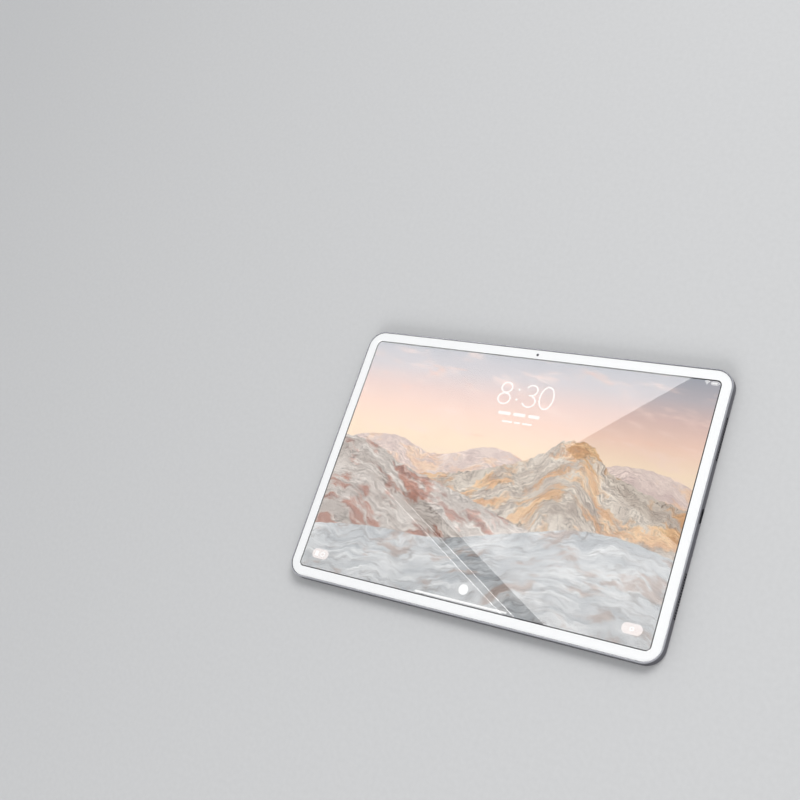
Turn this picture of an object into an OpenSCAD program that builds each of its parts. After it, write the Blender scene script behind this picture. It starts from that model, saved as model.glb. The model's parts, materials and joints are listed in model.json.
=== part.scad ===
// Tablet computer, lying on its back: +X towards the charging port, +Y towards the front camera,
// +Z out of the screen.
// The origin is the centre of the back face.

/* [Body] */
// Length of the body, from the key side to the charging side
body_w = 257; // [252:0.5:262]
// Width of the body, from the lower edge to the camera edge
body_h = 177; // [172:0.5:182]
// Thickness of the body, from the back to the top of the glass
body_t = 7.5; // [7.5:0.1:7.5]
// Radius of the four corners, seen from the front
corner_r = 11.5; // [10:0.5:13]
// Thickness of the side walls
wall_t = 1.6; // [1.4:0.1:1.8]
// Thickness of the back
floor_t = 0.8; // [0.7:0.1:0.8]
// Radius of the edge between the back and the sides
back_edge_r = 1.8; // [1.2:0.1:2]
// Radius of the edge between the sides and the rim round the glass
front_edge_r = 0.7; // [0.3:0.1:0.7]

/* [Screen] */
// Length of the lit area
active_w = 241.8; // [239:0.2:243]
// Width of the lit area
active_h = 161.8; // [159:0.2:163]
// Black margin between the lit area and the white border
black_margin = 0.5; // [0.3:0.1:0.6]
// Width of the metal rim round the glass
rim_w = 0.9; // [0.8:0.1:0.9]
// Thickness of the cover glass
glass_t = 0.7; // [0.5:0.1:0.7]
// Radius of the clear spot in the border, over the front camera
spot_r = 0.85; // [0.8:0.05:1.1]

/* [Sides] */
// Height of the centre of the port, keys and speaker slots above the back
side_z = 3.2; // [3.2:0.1:3.3]
// Number of slots in each speaker grille
slot_count = 17; // [11:1:19]
// Distance between speaker slots
slot_pitch = 1.6; // [1.4:0.1:1.7]
// Distance from the middle of a short side to the middle of its grilles
grille_y = 47; // [45:0.5:47]
// Travel of the power and volume keys
key_travel = 0.25; // [0.15:0.05:0.25]

/* [Hidden] */
$fn = 64;
eps = 0.01;

half_w = body_w / 2;
half_h = body_h / 2;
in_w = half_w - wall_t;      // inner face of the short walls
in_h = half_h - wall_t;      // inner face of the long walls
rim_top = body_t - 0.2;      // the glass stands a little proud of the rim
glass_gap = 0.05;
glass_w = body_w - 2 * rim_w;
glass_h = body_h - 2 * rim_w;
glass_r = corner_r - rim_w;
window_w = active_w + 2 * black_margin;
window_h = active_h + 2 * black_margin;
window_r = 3.4;

// Heights of the display stack, from the top down
glass_z = body_t - glass_t;
bond_gap = 0.01;             // between the clear layers
print_t = 0.05;
print_z = glass_z - print_t - bond_gap;
seat_z = 6.5;                // ledge that the glass gasket lies on
adhesive_z = 6.6;
lcd_z = 6;
lcd_w = window_w + 2;
lcd_h = window_h + 1.6;
driver_ledge = 1.8;          // lower glass of the cell, left bare for the driver chips
prism_z = 5.85;
diffuser_z = 5.65;
guide_z = 5.15;
reflector_z = 5.05;
tray_z = 4.9;
frame_z = 4.3;
frame_margin = 1.8;          // gap between the inner walls and the mid frame

// Heights in the bay under the mid frame
board_z = 1.9;
board_t = 0.8;
board_top = board_z + board_t;
connector_h = 0.9;
connector_top = board_top + connector_h;
cell_z = 0.95;
cell_t = 3.2;

// Plan positions
cell_w = 84;
cell_h = 132;
cell_x = [-32, 54];
front_camera = [0, 84.2];
sensor_y = 82.7;             // lower edge of the light sensor
rear_camera = [-111, 73.5];
flash = [-101.5, 73.5];
power_y = 70;
volume_x = [-100, -88];
tray_x = 108;
window_x = [-42, 54];        // middles of the two antenna windows
window_len = 36;
frame_posts = [
    [-62, 76], [-15, 76], [30, 76], [76, 76], [-66, -80.5], [-8, -80.5], [40, -80.5], [88, -80.5],
    [118, 22], [118, -22], [-118, 24], [-118, -24]
];
board_posts = [[-88, 70], [-88, -60], [-120, 12], [-120, -12], [104, 9], [104, -9]];
ear_offset = [102.5, 29];    // screw ear of each speaker, from the centre of the body
ear_posts = [for (sx = [-1, 1], sy = [-1, 1]) [sx * ear_offset[0], sy * ear_offset[1]]];
screw_hole_r = 0.6;
screw_room_r = 0.8;          // clearance holes for the board screws

// Openings in the walls, and what fills them
cut_from = -wall_t - 1;      // cuts through a wall start here and are this deep
cut_t = wall_t + 2;
slide_gap = 0.1;             // round the keys and the tray's door
key_h = 2.6;
power_key_l = 11;
volume_key_l = 9.5;
door_l = 16;
door_h = 3;
port_mouth = [9.2, 3.4];
port_shell = [8.94, 3.2];
port_shell_t = 0.3;
camera_room_r = 1.75;        // room for the front camera's barrel
ring_r = 5;                  // rear camera ring, where it sits in the back
flash_r = 1.75;

shield_h = 1.25;
cable_t = 0.15;              // flat cables
antenna_in = 1.48;           // inner face of the antennas, from the inner face of the long wall

// ---------- shared shapes ----------

// A rectangle with round corners, centred
module rounded(w, h, r) {
    square([w - 2 * r, h], center = true);
    square([w, h - 2 * r], center = true);
    for (sx = [-1, 1], sy = [-1, 1]) translate([sx * (w / 2 - r), sy * (h / 2 - r)]) circle(r);
}

module plate(w, h, r, z, t) {
    translate([0, 0, z]) linear_extrude(t) rounded(w, h, r);
}

// A slot with round ends: l long on X, h high on Y
module stadium(l, h) {
    square([l - h, h], center = true);
    for (s = [-1, 1]) translate([s * (l - h) / 2, 0]) circle(h / 2);
}

// Sweeps a profile round a rounded rectangle. The profile's x runs outwards from the corner's centre.
module sweep_round(w, h, r) {
    for (k = [0 : 3]) {
        side = (k % 2 == 0 ? w : h) / 2;
        run = (k % 2 == 0 ? h : w) - 2 * r;
        rotate([0, 0, 90 * k]) {
            translate([side - r, run / 2, 0]) rotate([90, 0, 0]) linear_extrude(run) children();
            translate([side - r, run / 2, 0]) rotate_extrude(angle = 90) children();
        }
    }
}

// Points of an arc from angle a to angle b
function arc(cx, cy, r, a, b, n = 6) =
    [for (i = [0 : n]) let (turn = a + (b - a) * i / n) [cx + r * cos(turn), cy + r * sin(turn)]];

// A box from its lowest corner to its highest
module block(low, high) {
    translate(low) cube(high - low);
}

// Places a part on each short or long side: the part's X runs outwards, its Y along the side
module on_side(turn, distance, along) {
    rotate([0, 0, turn]) translate([distance, along, side_z]) children();
}

// A flat slot or bar whose outline is drawn along the side and whose depth runs outwards from x = from
module side_bar(l, h, from, depth) {
    translate([from, 0, 0]) rotate([90, 0, 90]) linear_extrude(depth) stadium(l, h);
}

module post(at, top, r, hole_r, hole_depth) {
    translate([at[0], at[1], 0]) difference() {
        translate([0, 0, floor_t - eps]) cylinder(h = top - floor_t + eps, r = r);
        translate([0, 0, top - hole_depth]) cylinder(h = hole_depth + 1, r = hole_r);
    }
}

// ---------- casing ----------

ledge_in = 3.2;
ledge_z = 5.8;
foot_in = 3;

// Cross-section of the side wall, from the back edge round to the ledge that carries the glass
module wall_profile() {
    r = corner_r;
    polygon(concat(
        arc(r - back_edge_r, back_edge_r, back_edge_r, -90, 0, 8),
        arc(r - front_edge_r, rim_top - front_edge_r, front_edge_r, 0, 90, 6),
        [
            [r - rim_w + glass_gap, rim_top], [r - rim_w + glass_gap, seat_z],
            [r - ledge_in, seat_z], [r - ledge_in, ledge_z], [r - wall_t, ledge_z],
            [r - wall_t, floor_t], [r - foot_in, floor_t], [r - foot_in, 0]
        ]
    ));
}

module speaker_slots() {
    slot_w = 1;
    slot_h = 2.8;
    for (turn = [0, 180], side = [-1, 1], i = [0 : slot_count - 1])
        on_side(turn, half_w, side * grille_y + (i - (slot_count - 1) / 2) * slot_pitch)
            translate([cut_from, 0, 0]) rotate([0, 90, 0]) linear_extrude(cut_t) stadium(slot_h, slot_w);
}

// Opening round a sliding part that is l long and h high
module slide_slot(turn, distance, along, l, h) {
    on_side(turn, distance, along) side_bar(l + 2 * slide_gap, h + 2 * slide_gap, cut_from, cut_t);
}

module rear_cover() color("#6b6b76") difference() {
    union() {
        sweep_round(body_w, body_h, corner_r) wall_profile();
        plate(body_w - 2 * foot_in, body_h - 2 * foot_in, corner_r - foot_in, 0, floor_t);
        for (p = frame_posts) post(p, frame_z, 2, 0.7, 3);
        for (p = board_posts) post(p, board_z, 1.8, screw_hole_r, 1);
        for (p = ear_posts) post(p, board_z, 1.8, screw_hole_r, 1);
    }
    speaker_slots();
    // charging port
    on_side(0, half_w, 0) side_bar(port_mouth[0], port_mouth[1], cut_from, cut_t);
    // power key and volume keys
    slide_slot(180, half_w, -power_y, power_key_l, key_h);
    for (x = volume_x) slide_slot(90, half_h, -x, volume_key_l, key_h);
    // card tray
    slide_slot(90, half_h, -tray_x, door_l, door_h);
    // antenna windows
    for (x = window_x) block([x - window_len / 2, in_h - 1, 2], [x + window_len / 2, half_h + 1, 5]);
    // microphone holes: key side and camera edge
    on_side(180, half_w, 0) rotate([0, 90, 0]) cylinder(h = 6, r = 0.4, center = true);
    on_side(90, half_h, -20) rotate([0, 90, 0]) cylinder(h = 6, r = 0.4, center = true);
    // rear camera and flash
    translate([rear_camera[0], rear_camera[1], -1]) cylinder(h = 3, r = ring_r + 0.02);
    translate([flash[0], flash[1], -1]) cylinder(h = 3, r = flash_r + 0.05);
    // room in the ledge for the front camera, and for the screen's flat cable
    translate([front_camera[0], front_camera[1], ledge_z - 1]) cylinder(h = 3, r = camera_room_r);
    block([-53, -in_h, ledge_z - 1], [-17, -in_h + ledge_in, seat_z + 1]);
}

module cover_glass() color("#dfe8ee", 0.35) {
    lip = 2;
    sweep_round(glass_w, glass_h, glass_r) polygon(concat(
        [[glass_r - lip, glass_z], [glass_r, glass_z]],
        arc(glass_r - 0.3, body_t - 0.3, 0.3, 0, 90, 4),
        [[glass_r - lip, body_t]]
    ));
    plate(glass_w - 2 * lip, glass_h - 2 * lip, glass_r - lip, glass_z, glass_t);
}

module border_print() color("#fbfbfa") difference() {
    inset = 0.2;
    plate(glass_w - 2 * inset, glass_h - 2 * inset, glass_r - inset, print_z, print_t);
    plate(window_w, window_h, window_r, print_z - 1, 2);
    translate([front_camera[0], front_camera[1], print_z - 1]) cylinder(h = 2, r = spot_r);
}

module glass_gasket() color("#1b1b1c") difference() {
    outer = 0.95;
    plate(body_w - 2 * outer, body_h - 2 * outer, corner_r - outer, seat_z, print_z - seat_z);
    plate(body_w - 2 * ledge_in, body_h - 2 * ledge_in, corner_r - ledge_in, seat_z - 1, 3);
    translate([front_camera[0], front_camera[1], seat_z - 1]) cylinder(h = 3, r = camera_room_r);
}

// ---------- display ----------

module touch_sensor() color("#c9d6dc", 0.4) {
    plate(window_w - 0.1, window_h - 0.1, window_r, print_z, print_t);
}

module optical_adhesive() color("#e4ecef", 0.3) {
    plate(lcd_w, lcd_h, 1.5, adhesive_z + bond_gap, print_z - adhesive_z - 2 * bond_gap);
}

// Colour filter glass over a longer transistor glass, whose bare edge carries the driver chips
module lcd_cell() color("#e8cdb8") {
    half = (adhesive_z - lcd_z) / 2;
    plate(lcd_w, lcd_h, 1.5, lcd_z + half, half);
    translate([0, -driver_ledge / 2, 0]) plate(lcd_w, lcd_h + driver_ledge, 3, lcd_z, half);
}

film_w = lcd_w - 1.5;
film_h = lcd_h - 1.2;

module diffuser_films() color("#f2f2ee") {
    plate(film_w, film_h, 1, prism_z + 0.02, lcd_z - prism_z - 0.02);
    plate(film_w, film_h, 1, diffuser_z, prism_z - diffuser_z);
}

led_bay = 1.7;

module light_guide() color("#dfeaf2", 0.6) {
    translate([0, led_bay / 2, 0]) plate(film_w, film_h - led_bay, 1, guide_z, diffuser_z - guide_z);
}

module reflector_sheet() color("#f7f7f5") plate(film_w, film_h, 1, reflector_z, guide_z - reflector_z);

module backlight_led_strip() color("#e6d9a2") {
    leds = 36;
    pitch = 6.6;
    y = -film_h / 2;
    block([-film_w / 2 + 1, y + 0.1, guide_z], [film_w / 2 - 1, y + led_bay - 0.2, guide_z + 0.1]);
    for (i = [0 : leds - 1]) {
        x = (i - (leds - 1) / 2) * pitch;
        block([x - 1.5, y + 0.7, guide_z + 0.1 - eps], [x + 1.5, y + led_bay - 0.2, guide_z + 0.45]);
    }
}

module display_tray() color("#b9bcc0") {
    wall = 0.3;
    plate(lcd_w, lcd_h, 1.5, tray_z, reflector_z - tray_z);
    difference() {
        plate(lcd_w, lcd_h, 1.5, reflector_z - eps, lcd_z - reflector_z + eps);
        plate(lcd_w - 2 * wall, lcd_h - 2 * wall, 1.2, reflector_z - 1, 3);
    }
}

// Bonded to the bare edge of the cell, folded over the edge of the display and led to the main board
module display_flex() color("#b5772c") {
    low = 4;
    edge = -lcd_h / 2 - driver_ledge;
    fold = edge - 0.7;
    top = lcd_z + (adhesive_z - lcd_z) / 2;
    block([-52, fold, top], [-18, edge + 1.2, top + cable_t]);
    block([-52, fold - cable_t, low], [-18, fold + eps, top + cable_t]);
    block([-52, fold, low], [-18, -70, low + cable_t]);
    block([-92, -76, low], [-52 + eps, -70, low + cable_t]);
    block([-92, -76, connector_top], [-84, -70, low + eps]);
    for (x = [-46, -35, -24]) block([x - 4, edge + 0.2, top + cable_t - eps], [x + 4, edge + 1, top + 0.28]);
}

// ---------- mid frame and screws ----------

module mid_frame() color("#8d9093") difference() {
    w = 2 * (in_w - frame_margin);
    h = 2 * (in_h - frame_margin - 1);
    plate(w, h, corner_r - wall_t - frame_margin, frame_z, tray_z - frame_z);
    // the screws' seats and holes
    for (p = frame_posts) translate([p[0], p[1], 0]) {
        translate([0, 0, frame_z + 0.25]) cylinder(h = 2, r = 1.4);
        translate([0, 0, frame_z - 1]) cylinder(h = 3, r = 0.75);
    }
    // room for the charging socket, the front camera and the light sensor
    block([in_w - 8, -5, frame_z - 1], [in_w, 5, tray_z + 1]);
    block([8.5, sensor_y + 1, frame_z - 1], [12, in_h, tray_z + 1]);
    translate([front_camera[0], front_camera[1], frame_z - 1]) cylinder(h = 3, r = 2);
    // lightening holes between the cells
    for (y = [-48 : 16 : 48]) translate([11, y, frame_z - 1]) cylinder(h = 3, r = 3);
}

module screw(head_r, head_t, shank_r, shank_l) {
    difference() {
        union() {
            cylinder(h = head_t, r = head_r);
            translate([0, 0, -shank_l]) cylinder(h = shank_l + eps, r = shank_r);
        }
        translate([0, 0, head_t - 0.18]) cylinder(h = 1, r = 0.55, $fn = 6);
    }
}

module frame_screws() color("#3b3d40") {
    for (p = frame_posts) translate([p[0], p[1], frame_z + 0.25]) screw(1.3, 0.3, 0.62, 2.5);
}

module board_screws() color("#a9a9ab") {
    for (p = concat(board_posts, ear_posts)) translate([p[0], p[1], board_top]) screw(1.3, 0.45, 0.52, 1.7);
}

// ---------- battery ----------

module battery_cell(x) {
    r = 3;
    edge = 1.1;
    side = 1.5;
    top = cell_z + cell_t;
    translate([x, 0, 0]) {
        sweep_round(cell_w, cell_h, r) polygon([
            [r - side, cell_z], [r - 0.5, cell_z], [r, cell_z + edge],
            [r, top - edge], [r - 0.5, top], [r - side, top]
        ]);
        plate(cell_w - 2 * side, cell_h - 2 * side, r - side, cell_z, cell_t);
    }
}

module battery_cell_left() color("#2a2b2e") battery_cell(cell_x[0]);
module battery_cell_right() color("#2a2b2e") battery_cell(cell_x[1]);

module battery_adhesive() color("#f1efe6") {
    for (x = cell_x, dx = [-26, 0, 26]) block([x + dx - 6, -62, floor_t], [x + dx + 6, 62, cell_z]);
}

module battery_board() color("#1f5a3c") {
    block([-60, 66.3, 1.6], [-8, 70.3, 2.2]);
    for (x = [-55, -49, -40, -30, -22, -13]) block([x - 1.6, 67, 2.2 - eps], [x + 1.6, 69.6, 3]);
    // welded nickel tabs of the two cells
    for (x = [-44, -26]) block([x - 2, cell_h / 2, 2.2], [x + 2, 66.9, 2.35]);
}

module battery_cable() color("#1d1d1f") {
    z = connector_top;
    block([-84.3, 66.5, z], [-59, 69.5, z + cable_t]);
    block([-60, 66.5, 2.2], [-59, 69.5, z + cable_t]);
}

// ---------- main board ----------

module board_outline() {
    translate([-98, -80]) square([20, 156]);
    translate([-125.5, -18]) square([28, 36]);
}

module main_board() color("#17482f") difference() {
    translate([0, 0, board_z]) linear_extrude(board_t) board_outline();
    for (p = board_posts) if (p[0] < 0) translate([p[0], p[1], 0]) cylinder(h = 9, r = screw_room_r);
    // clearance for the flash
    translate([-98, 76, 0]) cylinder(h = 9, r = 2);
}

module chip(x, y, w, h, t) {
    block([x - w / 2, y - h / 2, board_top], [x + w / 2, y + h / 2, board_top + t]);
}

module processor() color("#26272b") {
    chip(-88, 17, 14, 14, 0.55);
    translate([0, 0, 0.55 - eps]) chip(-88, 17, 10, 10, 0.35);
}

module memory_chips() color("#202124") {
    chip(-88, 32.5, 11.5, 13, 0.9);
    chip(-88, 1.5, 11.5, 13, 0.9);
}

module controller_chips() color("#232427") {
    chip(-106, 8, 7, 7, 0.75);
    chip(-106, -7, 5, 5, 0.7);
    chip(-88, -36, 8, 8, 0.8);
    chip(-88, -27.5, 4, 4, 0.7);
}

// A drawn steel lid, open underneath
module shield_can(x0, y0, x1, y1) {
    wall = 0.2;
    difference() {
        block([x0, y0, board_top], [x1, y1, board_top + shield_h]);
        block([x0 + wall, y0 + wall, board_top - 1], [x1 - wall, y1 - wall, board_top + shield_h - wall]);
    }
}

module shield_can_main() color("#c3c5c8") shield_can(-97, -7, -79, 41);
module shield_can_radio() color("#c3c5c8") shield_can(-97, -42, -79, -23);

module heat_spreader() color("#3a3c40") {
    z = board_top + shield_h;
    block([-98, -8, z], [-78.5, 42, z + 0.1]);
}

// Board-to-board sockets: battery, screen, charging cable, keys, cameras
module connector(x, y, w, h) {
    rim = 0.5;
    translate([x, y, board_top]) difference() {
        block([-w / 2, -h / 2, 0], [w / 2, h / 2, connector_h]);
        block([rim - w / 2, rim - h / 2, connector_h - 0.3], [w / 2 - rim, h / 2 - rim, 2]);
    }
}

module board_connectors() color("#d8cfa8") {
    connector(-82, 68, 4.6, 3);
    connector(-82, front_camera[1] - 12.3, 4.6, 2.4);
    connector(-88, -73, 7.6, 5);
    connector(-82, -73.8, 3.4, 5);
    connector(-94, 71.1, 5, 3);
    connector(-94, 63.9, 5, 3);
    connector(-103, 0, 6, 3);
    connector(101.8, -4, 3, 6);
}

// ---------- charging port ----------

port_back = in_w - 6.3;
port_front = half_w - 0.6;

module usb_board() color("#17482f") difference() {
    block([100, -13, board_z], [124, 13, board_top]);
    block([port_back - 0.1, -4.9, board_z - 1], [in_w, 4.9, board_top + 1]);
    for (p = board_posts) if (p[0] > 0) translate([p[0], p[1], 0]) cylinder(h = 9, r = screw_room_r);
}

module usb_shell() color("#c9cacc") on_side(0, 0, 0) difference() {
    l = port_shell[0];
    h = port_shell[1];
    side_bar(l, h, port_back, port_front - port_back);
    side_bar(l - 2 * port_shell_t, h - 2 * port_shell_t, port_back - 1, port_front - port_back + 2);
}

module usb_tongue() color("#1c1c1e") translate([0, 0, side_z]) {
    inner = 2 * port_shell_t + 0.04;
    side_bar(port_shell[0] - inner, port_shell[1] - inner, port_back, 1.5);
    block([port_back + 1.5 - eps, -3.35, -0.35], [port_back + 5.9, 3.35, 0.35]);
}

module usb_contacts() color("#caa24c") translate([0, 0, side_z]) {
    pitch = 0.5;
    for (i = [0 : 11], face_z = [-0.4, 0.35]) translate([port_back + 1.6, (i - 5.5) * pitch - 0.12, face_z])
        cube([3.6, 0.24, 0.05]);
}

module usb_flex() color("#b5772c") {
    z = connector_top;
    block([96.4, -7, z], [103.3, -1, z + cable_t]);
    block([96.4, -76.5, z], [98.8, -1, z + cable_t]);
    block([-83.7, -76.5, z], [98.8, -71.2, z + cable_t]);
}

// ---------- sound ----------

speaker_out = in_w - 1.6;    // outer face of the speaker boxes

// Plastic box with an oval diaphragm, a screw ear and a mouth that faces the grille
module speaker(sx, sy) {
    low = 0.9;
    top = 4.2;
    back = 100;              // inner end of the box
    half_l = 15;
    mirror([sx < 0 ? 1 : 0, 0, 0]) mirror([0, sy < 0 ? 1 : 0, 0]) translate([0, grille_y, 0]) {
        difference() {
            union() {
                block([back, -half_l, low], [speaker_out, half_l, top]);
                block([back, ear_offset[1] - grille_y - 2, board_z], [back + 5, -half_l + eps, board_top]);
            }
            // surround and hollow chamber behind the mouth
            translate([110.5, 0, top - 0.35]) linear_extrude(2) difference() {
                rounded(17, 25, 7);
                rounded(14, 22, 6);
            }
            block([118, -13, side_z - 1], [in_w, 13, side_z + 0.6]);
            translate([ear_offset[0], ear_offset[1] - grille_y, 0]) cylinder(h = 9, r = screw_room_r);
        }
    }
}

module speaker_right_upper() color("#2f3033") speaker(1, 1);
module speaker_right_lower() color("#2f3033") speaker(1, -1);
module speaker_left_upper() color("#2f3033") speaker(-1, 1);
module speaker_left_lower() color("#2f3033") speaker(-1, -1);

// Fine meshes behind the four grilles, each in a foam frame
module speaker_meshes() color("#151517") {
    l = slot_count * slot_pitch + 1;
    for (turn = [0, 180], side = [-1, 1]) on_side(turn, 0, side * grille_y) {
        difference() {
            block([speaker_out + 0.05, -l / 2, -1.7], [in_w - 0.05, l / 2, 1.7]);
            block([speaker_out, -l / 2 + 0.8, -1.2], [in_w - 0.25, l / 2 - 0.8, 1.2]);
        }
    }
}

module microphones() color("#c2a866") {
    block([-in_w + 0.1, -2, board_top], [-in_w + 3.3, 2, board_top + 1]);
    block([18.2, in_h - 3.2, 2.7], [21.8, in_h - 0.1, 3.7]);
    block([3, in_h - 3.2, 3.7 - eps], [21.8, in_h - 1.7, 3.7 + cable_t]);
}

// ---------- cameras, flash and light sensor ----------

module front_camera_module() color("#202124") translate([front_camera[0], front_camera[1], 0]) {
    difference() {
        union() {
            block([-3, -3.7, 1.9], [3, 1.4, frame_z]);
            translate([0, 0, frame_z - eps]) cylinder(h = 2, r = 1.5);
        }
        translate([0, 0, frame_z + 1.6]) cylinder(h = 2, r = 1.02);
    }
    // flat cable: inwards, along past the battery, then up and over to the main board
    low = 2.4;
    rise = -76.5;
    top = connector_top + cable_t;
    block([-2, -13.6, low], [2, -3.7 + eps, low + cable_t]);
    block([rise, -13.6, low], [2, -11, low + cable_t]);
    block([rise, -13.6, low], [rise + cable_t, -11, top]);
    block([-84.3, -13.6, connector_top], [rise + cable_t, -11, top]);
}

module front_camera_lens() color("#101827") translate([front_camera[0], front_camera[1], frame_z + 1.6]) {
    intersection() {
        cylinder(h = 0.6, r = 1);
        translate([0, 0, -1.4]) sphere(r = 2);
    }
}

module rear_camera_module() color("#26272a") translate([rear_camera[0], rear_camera[1], 0]) {
    difference() {
        union() {
            block([-4.75, -4.75, 2], [4.75, 4.75, 4.2]);
            translate([0, 0, 1]) cylinder(h = 1.01, r = 3.4);
        }
        cylinder(h = 1.8, r = 2.3);
    }
    // flat cable to the main board
    block([4.75 - eps, -4, connector_top], [19.5, -0.8, connector_top + cable_t]);
}

module rear_camera_lens() color("#0e1b33") translate([rear_camera[0], rear_camera[1], 0]) {
    intersection() {
        translate([0, 0, 1.1]) cylinder(h = 0.7, r = 2.25);
        translate([0, 0, 5.3]) sphere(r = 4.2);
    }
}

// A ring round the glass, with a flange inside the back
module rear_camera_ring() color("#55565e") translate([rear_camera[0], rear_camera[1], 0]) {
    rotate_extrude() polygon([
        [4.25, 0.05], [4.35, 0], [ring_r, 0], [ring_r, floor_t], [ring_r + 0.7, floor_t],
        [ring_r + 0.7, 1], [3.6, 1], [3.6, 0.72], [4.25, 0.72]
    ]);
}

module rear_camera_glass() color("#20242c", 0.6) translate([rear_camera[0], rear_camera[1], 0.12]) {
    cylinder(h = 0.6, r = 4.2);
}

module flash_lens() color("#f3efe0", 0.8) translate([flash[0], flash[1], 0.02]) {
    cylinder(h = 0.78, r = flash_r);
    translate([0, 0, 0.7]) cylinder(h = 0.3, r = 1.2);
}

module flash_led() color("#e9d36a") translate([flash[0], flash[1], 0]) {
    block([-1, -1, 1.1], [1, 1, 1.6]);
    block([-2, -2, 1.6 - eps], [6, 1, board_z]);
}

module light_sensor() color("#7a8f55") {
    block([9, sensor_y, 6.3], [11.4, sensor_y + 1.9, print_z]);
    block([9.4, sensor_y + 1.7, 3.85], [11, sensor_y + 1.85, 6.3 + eps]);
}

// ---------- keys ----------

lip_t = 0.6;
key_proud = 0.35;
key_back = -wall_t - 0.1 - lip_t; // back of a key at rest, from the outer face

// A key whose X runs outwards: cap through the wall, lip behind it
module key(l) {
    side_bar(l, key_h, key_back, key_proud - key_back);
    side_bar(l + 1.8, key_h + 0.8, key_back, lip_t);
}

module power_button() color("#5f5f6a") on_side(180, half_w, -power_y) key(power_key_l);
module volume_up_button() color("#5f5f6a") on_side(90, half_h, -volume_x[0]) key(volume_key_l);
module volume_down_button() color("#5f5f6a") on_side(90, half_h, -volume_x[1]) key(volume_key_l);

switch_back = 4;             // depth of the switches' flat cable behind the outer face

// Dome switch whose dome just clears a pressed key
module key_switch() {
    tip = key_back - key_travel - 0.05;
    translate([tip - 0.5, 0, 0]) rotate([0, 90, 0]) cylinder(h = 0.5, r = 1);
    block([-switch_back, -1.7, -1], [tip - 0.5 + eps, 1.7, 1]);
}

module key_switches() color("#cfcfd1") {
    on_side(180, half_w, -power_y) key_switch();
    for (x = volume_x) on_side(90, half_h, -x) key_switch();
}

module key_flexes() color("#b5772c") {
    t = 0.2;
    on_side(180, half_w, -power_y) block([-switch_back - t, -6.5, -1.7], [-switch_back, 7.5, 1]);
    block([-half_w + switch_back, 62.5, connector_top], [-91.5, 65.3, connector_top + cable_t]);
    block([-106, half_h - switch_back - t, side_z - 1.7], [-82, half_h - switch_back, side_z + 1]);
    block([-90, 72, board_top], [-86, half_h - switch_back - t + eps, board_top + cable_t]);
}

// ---------- card tray ----------

tray_in = 19;                // how far the tray reaches in from the outer face

// Door plate and card pocket, with X running outwards
module card_tray() color("#6b6b76") on_side(90, half_h, -tray_x) difference() {
    union() {
        side_bar(door_l, door_h, -wall_t + 0.05, wall_t - 0.05);
        block([-tray_in, -6.6, -0.65], [-wall_t + 0.05 + eps, 6.6, 0.65]);
    }
    block([-tray_in + 0.9, -5.6, -0.25], [-tray_in + 16.1, 5.6, 1]);
    // window under the contacts, and fingernail notch
    block([-tray_in + 2, -4, -1], [-tray_in + 9, 4, 1]);
    translate([-0.2, 0, 1.9]) rotate([90, 0, 0]) cylinder(h = 7, r = 0.9, center = true);
}

module tray_seal() color("#2b2b2d") on_side(90, half_h, -tray_x) difference() {
    side_bar(15.4, 2.8, -wall_t - 0.95, 1);
    block([-wall_t - 2, -6.6, -0.65], [0, 6.6, 0.65]);
}

module card_reader() color("#c3c5c8") on_side(90, half_h, -tray_x) {
    wall = 0.2;
    side = 7.1;
    difference() {
        block([-20.5, -side, -1.2], [-3.3, side, 1]);
        block([-20.5 + wall, -side + wall, -0.9], [-3, side - wall, 1 - wall]);
    }
    // feet
    for (x = [-19, -5.5], y = [-6, 4.6]) block([x, y, floor_t - side_z], [x + 1.4, y + 1.4, -1.2 + eps]);
    // card contacts
    for (i = [0 : 7]) block([-20.3, -4 + i * 1.1, -0.9 - eps], [-15.5, -3.5 + i * 1.1, -0.72]);
}

// ---------- antennas ----------

module antenna_windows() color("#5c5c66") {
    for (x = window_x) block([x - window_len / 2, in_h, 2], [x + window_len / 2, half_h, 5]);
}

module wifi_antennas() color("#8a6a3a") {
    for (x = window_x) {
        block([x - 16, in_h - 1.4, 1.7], [x + 16, in_h - 0.15, 5.1]);
        // copper strips on the inner face
        for (i = [-3 : 3]) translate([x + i * 4.4, in_h, 0])
            block([-0.6, -antenna_in, 2.1], [0.6, -1.4 + eps, 4.7]);
    }
}

// Coaxial lead: along X at y, then down to its plug on the main board
module coax(from_x, y, plug_x, plug_y) {
    r = 0.45;
    z = 3.3;
    translate([plug_x, y, z]) rotate([0, 90, 0]) cylinder(h = from_x - plug_x, r = r, $fn = 24);
    translate([plug_x, y, z]) sphere(r = r, $fn = 24);
    translate([plug_x, y, z]) rotate([90, 0, 0]) cylinder(h = y - plug_y, r = r, $fn = 24);
    translate([plug_x, plug_y, board_top]) cylinder(h = 1.1, r = 1.1, $fn = 24);
    translate([from_x, y, z]) sphere(r = r, $fn = 24);
    translate([from_x, y, z]) rotate([-90, 0, 0]) cylinder(h = in_h - antenna_in - y, r = r, $fn = 24);
}

module antenna_cables() color("#1a1a1b") {
    coax(-57, 81.2, -84, 74.7);
    coax(41, 79.3, -80.5, 74.7);
}

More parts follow.
